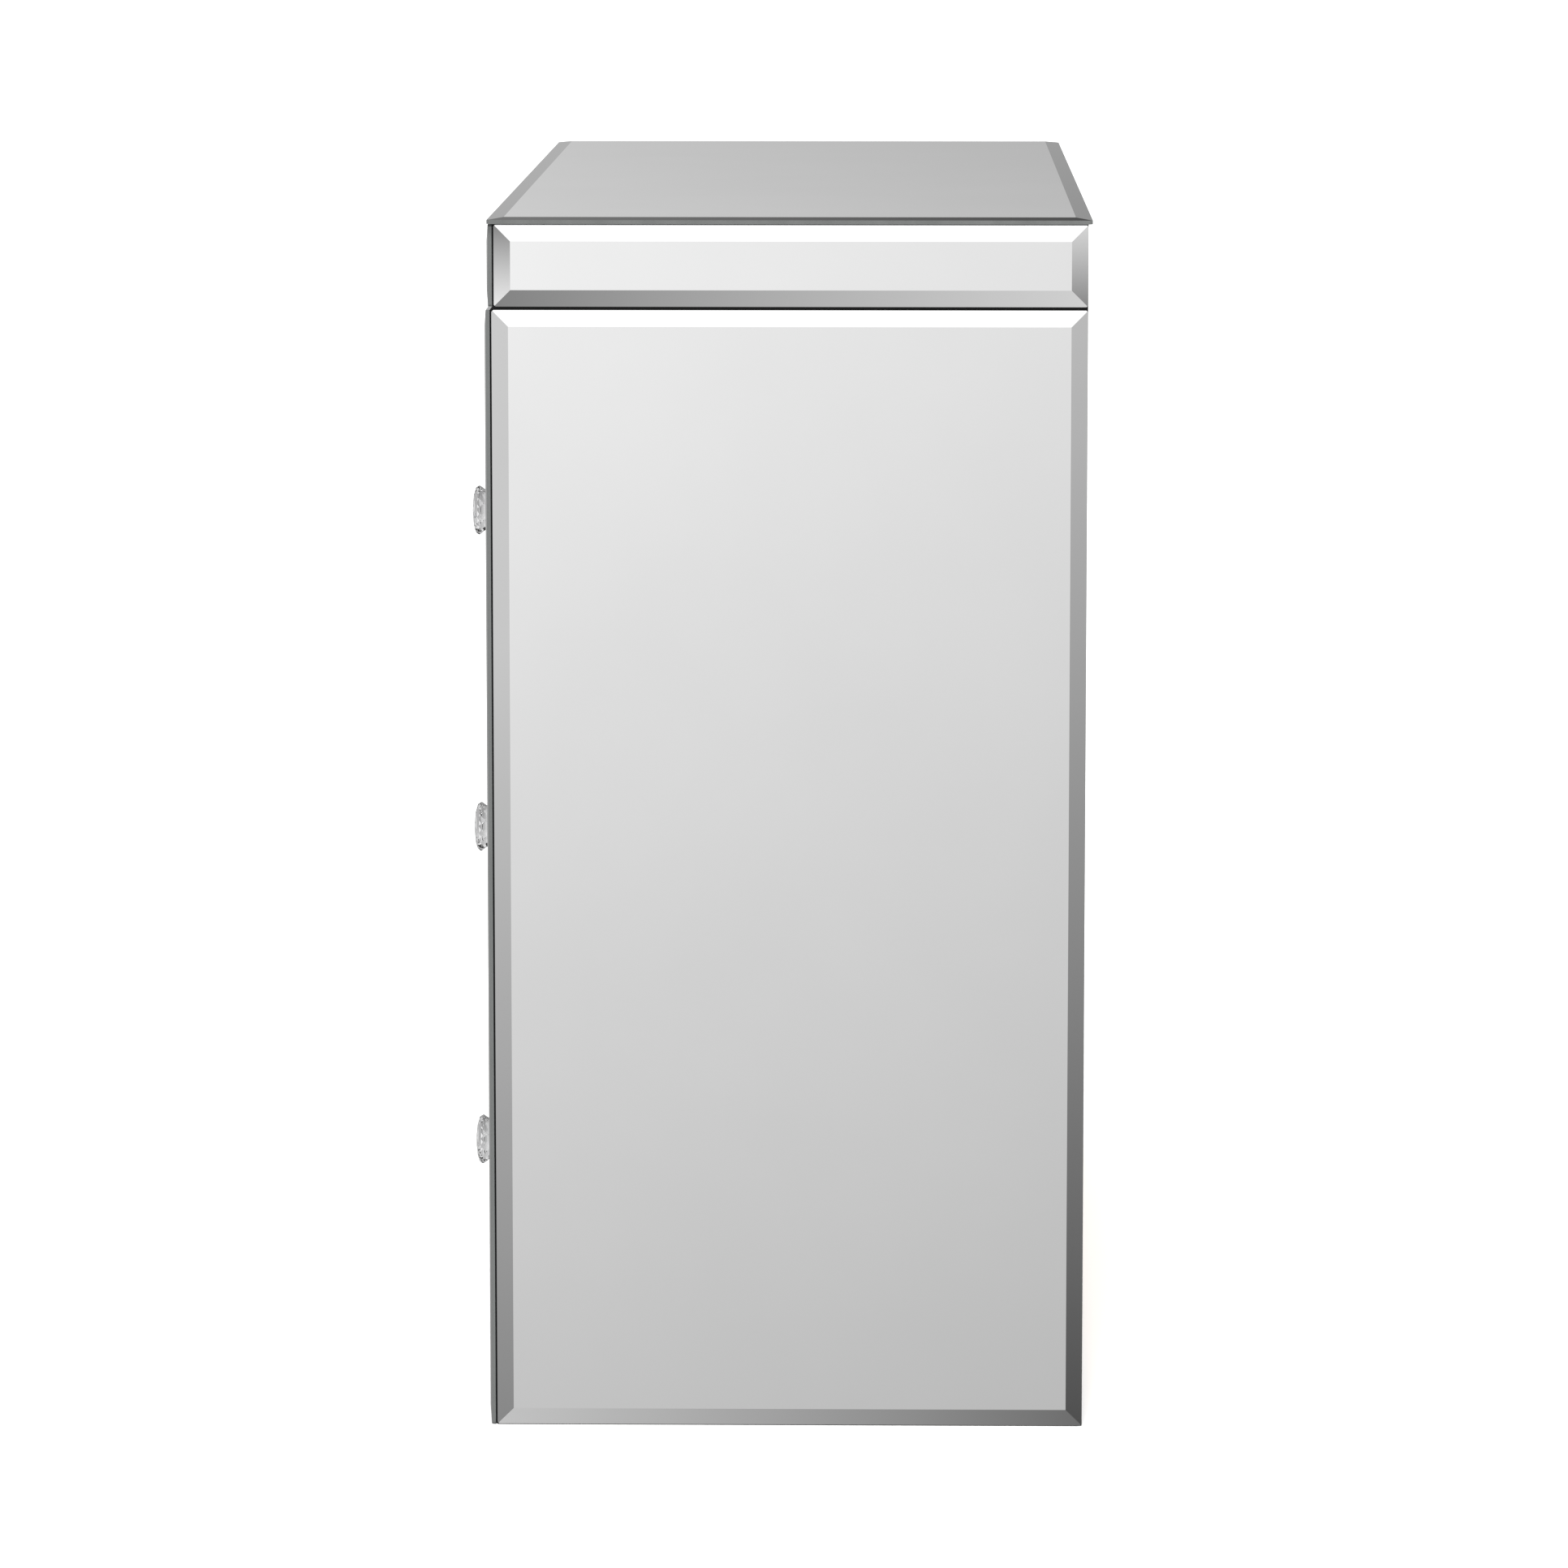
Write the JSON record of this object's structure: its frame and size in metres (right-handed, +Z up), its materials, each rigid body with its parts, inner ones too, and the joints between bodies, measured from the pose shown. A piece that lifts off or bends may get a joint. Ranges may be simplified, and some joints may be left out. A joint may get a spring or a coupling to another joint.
{
  "type": "mirrored drawer cabinet",
  "caption": "Flat-based cabinet of full-width drawers, faced all round with bevelled mirror plates, with crystal knobs and hidden wall-fixing rails.",
  "frame": {"origin": "centre of the flat base, on the surface that the cabinet stands on", "axes": "+X to the right seen from the front, +Y towards the wall behind, so the drawers open along -Y, +Z up"},
  "size_m": [1, 0.4152, 0.8],
  "materials": {
    "mirror_glass": "silvered mirror glass, polished, with wide bevels",
    "carcass_board": "fibreboard painted satin black",
    "drawer_board": "fibreboard wrapped in grey linen-textured foil",
    "hardboard": "bare brown hardboard, fine pressed grain",
    "softwood": "planed softwood, bare",
    "crystal": "clear facet-cut crystal",
    "chrome": "polished chrome plate",
    "zinc_steel": "bright zinc-plated steel, lightly brushed",
    "rubber": "soft black rubber"
  },
  "bodies": {
    "cabinet": {"back_panel": "hardboard", "bottom_board": "carcass_board", "bottom_rail_board": "carcass_board", "bottom_rail_glass": "mirror_glass", "carcass_screws": "zinc_steel", "drawer_bumpers": "rubber", "drawer_rails": "carcass_board", "frieze_glass_front": "mirror_glass", "frieze_glass_left": "mirror_glass", "frieze_glass_right": "mirror_glass", "front_header_board": "carcass_board", "lower_fixing_rail": "softwood", "side_board_left": "carcass_board", "side_board_right": "carcass_board", "side_glass_left": "mirror_glass", "side_glass_right": "mirror_glass", "slide_fixed_members": "zinc_steel", "slide_packers": "softwood", "slide_screws": "zinc_steel", "stile_board_left": "carcass_board", "stile_board_right": "carcass_board", "stile_glass_left": "mirror_glass", "stile_glass_right": "mirror_glass", "top_board": "carcass_board", "top_glass": "mirror_glass", "upper_fixing_rail": "softwood", "upper_rail_glass": "mirror_glass"},
    "drawer_1": {"drawer_1_back_board": "drawer_board", "drawer_1_bottom_panel": "drawer_board", "drawer_1_crystals": "crystal", "drawer_1_front_board": "carcass_board", "drawer_1_front_glass": "mirror_glass", "drawer_1_knob_bases": "chrome", "drawer_1_knob_bolts": "zinc_steel", "drawer_1_side_left": "drawer_board", "drawer_1_side_right": "drawer_board", "drawer_1_slide_drawer_members": "zinc_steel"},
    "slide_middle_1": {"drawer_1_slide_middle_members": "zinc_steel"},
    "drawer_2": {"drawer_2_back_board": "drawer_board", "drawer_2_bottom_panel": "drawer_board", "drawer_2_crystals": "crystal", "drawer_2_front_board": "carcass_board", "drawer_2_front_glass": "mirror_glass", "drawer_2_knob_bases": "chrome", "drawer_2_knob_bolts": "zinc_steel", "drawer_2_side_left": "drawer_board", "drawer_2_side_right": "drawer_board", "drawer_2_slide_drawer_members": "zinc_steel"},
    "slide_middle_2": {"drawer_2_slide_middle_members": "zinc_steel"},
    "drawer_3": {"drawer_3_back_board": "drawer_board", "drawer_3_bottom_panel": "drawer_board", "drawer_3_crystals": "crystal", "drawer_3_front_board": "carcass_board", "drawer_3_front_glass": "mirror_glass", "drawer_3_knob_bases": "chrome", "drawer_3_knob_bolts": "zinc_steel", "drawer_3_side_left": "drawer_board", "drawer_3_side_right": "drawer_board", "drawer_3_slide_drawer_members": "zinc_steel"},
    "slide_middle_3": {"drawer_3_slide_middle_members": "zinc_steel"}
  },
  "joints": [
    {"name": "drawer_1_slide", "type": "slide", "parent": "cabinet", "child": "drawer_1", "axis": [0, -1, 0], "range_m": [0, 0.28]},
    {"name": "drawer_2_slide", "type": "slide", "parent": "cabinet", "child": "drawer_2", "axis": [0, -1, 0], "range_m": [0, 0.28]},
    {"name": "drawer_3_slide", "type": "slide", "parent": "cabinet", "child": "drawer_3", "axis": [0, -1, 0], "range_m": [0, 0.28]},
    {"name": "slide_middle_1_slide", "type": "slide", "parent": "cabinet", "child": "slide_middle_1", "axis": [0, -1, 0], "range_m": [0, 0.14]},
    {"name": "slide_middle_2_slide", "type": "slide", "parent": "cabinet", "child": "slide_middle_2", "axis": [0, -1, 0], "range_m": [0, 0.14]},
    {"name": "slide_middle_3_slide", "type": "slide", "parent": "cabinet", "child": "slide_middle_3", "axis": [0, -1, 0], "range_m": [0, 0.14]}
  ],
  "couplings": [
    {"joint": "slide_middle_1_slide", "follows": "drawer_1_slide", "ratio": 0.5},
    {"joint": "slide_middle_2_slide", "follows": "drawer_2_slide", "ratio": 0.5},
    {"joint": "slide_middle_3_slide", "follows": "drawer_3_slide", "ratio": 0.5}
  ]
}
